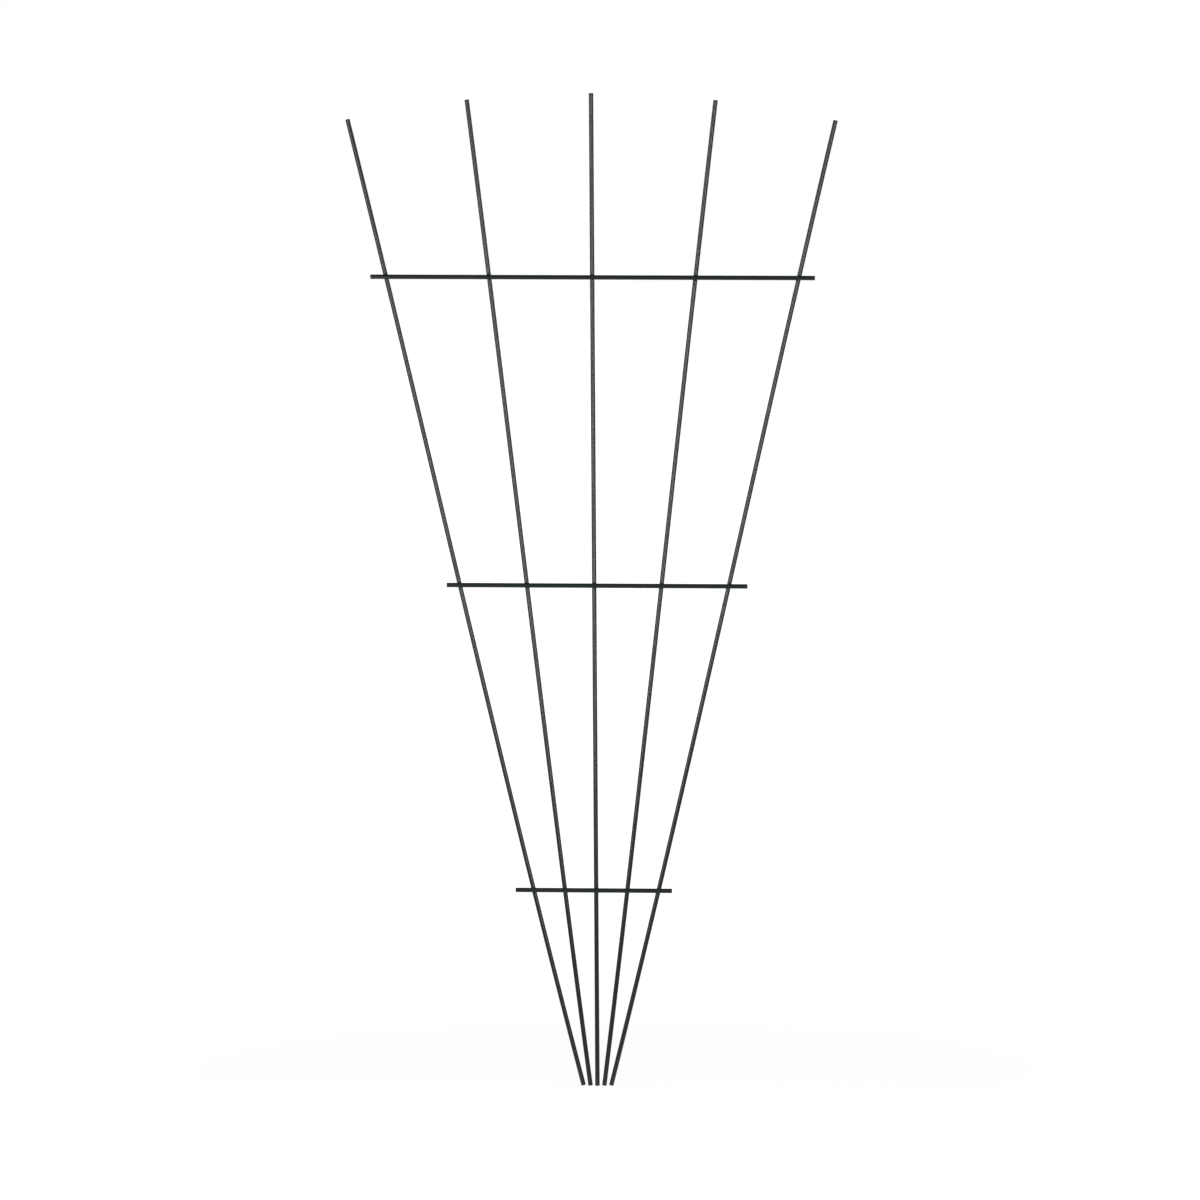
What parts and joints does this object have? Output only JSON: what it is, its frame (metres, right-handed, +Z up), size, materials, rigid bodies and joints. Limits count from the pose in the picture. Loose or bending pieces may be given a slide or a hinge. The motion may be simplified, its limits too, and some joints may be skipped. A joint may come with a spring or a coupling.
{
  "type": "wire plant trainer",
  "caption": "Flat fan of coated wire uprights, spread from close feet and tied by straight cross wires, to push into soil behind a climbing plant.",
  "frame": {"origin": "middle of the centre upright's cut foot, the end that goes into the soil first", "axes": "+Z up along the centre upright, +X to the right across the fan, -Y towards the front, where the cross wires are"},
  "size_m": [0.7436, 0.0134, 1.5],
  "materials": {
    "upright_coat": "dark green plastic coat, satin",
    "cross_wire_coat": "dark green plastic coat, satin",
    "weld_coat": "dark green plastic coat over a spot weld, satin"
  },
  "bodies": {
    "root": {"upright_outer_left": "upright_coat", "upright_inner_left": "upright_coat", "upright_centre": "upright_coat", "upright_inner_right": "upright_coat", "upright_outer_right": "upright_coat", "cross_wire_bottom": "cross_wire_coat", "cross_wire_middle": "cross_wire_coat", "cross_wire_top": "cross_wire_coat", "weld_bottom_outer_left": "weld_coat", "weld_bottom_inner_left": "weld_coat", "weld_bottom_centre": "weld_coat", "weld_bottom_inner_right": "weld_coat", "weld_bottom_outer_right": "weld_coat", "weld_middle_outer_left": "weld_coat", "weld_middle_inner_left": "weld_coat", "weld_middle_centre": "weld_coat", "weld_middle_inner_right": "weld_coat", "weld_middle_outer_right": "weld_coat", "weld_top_outer_left": "weld_coat", "weld_top_inner_left": "weld_coat", "weld_top_centre": "weld_coat", "weld_top_inner_right": "weld_coat", "weld_top_outer_right": "weld_coat"}
  },
  "joints": []
}
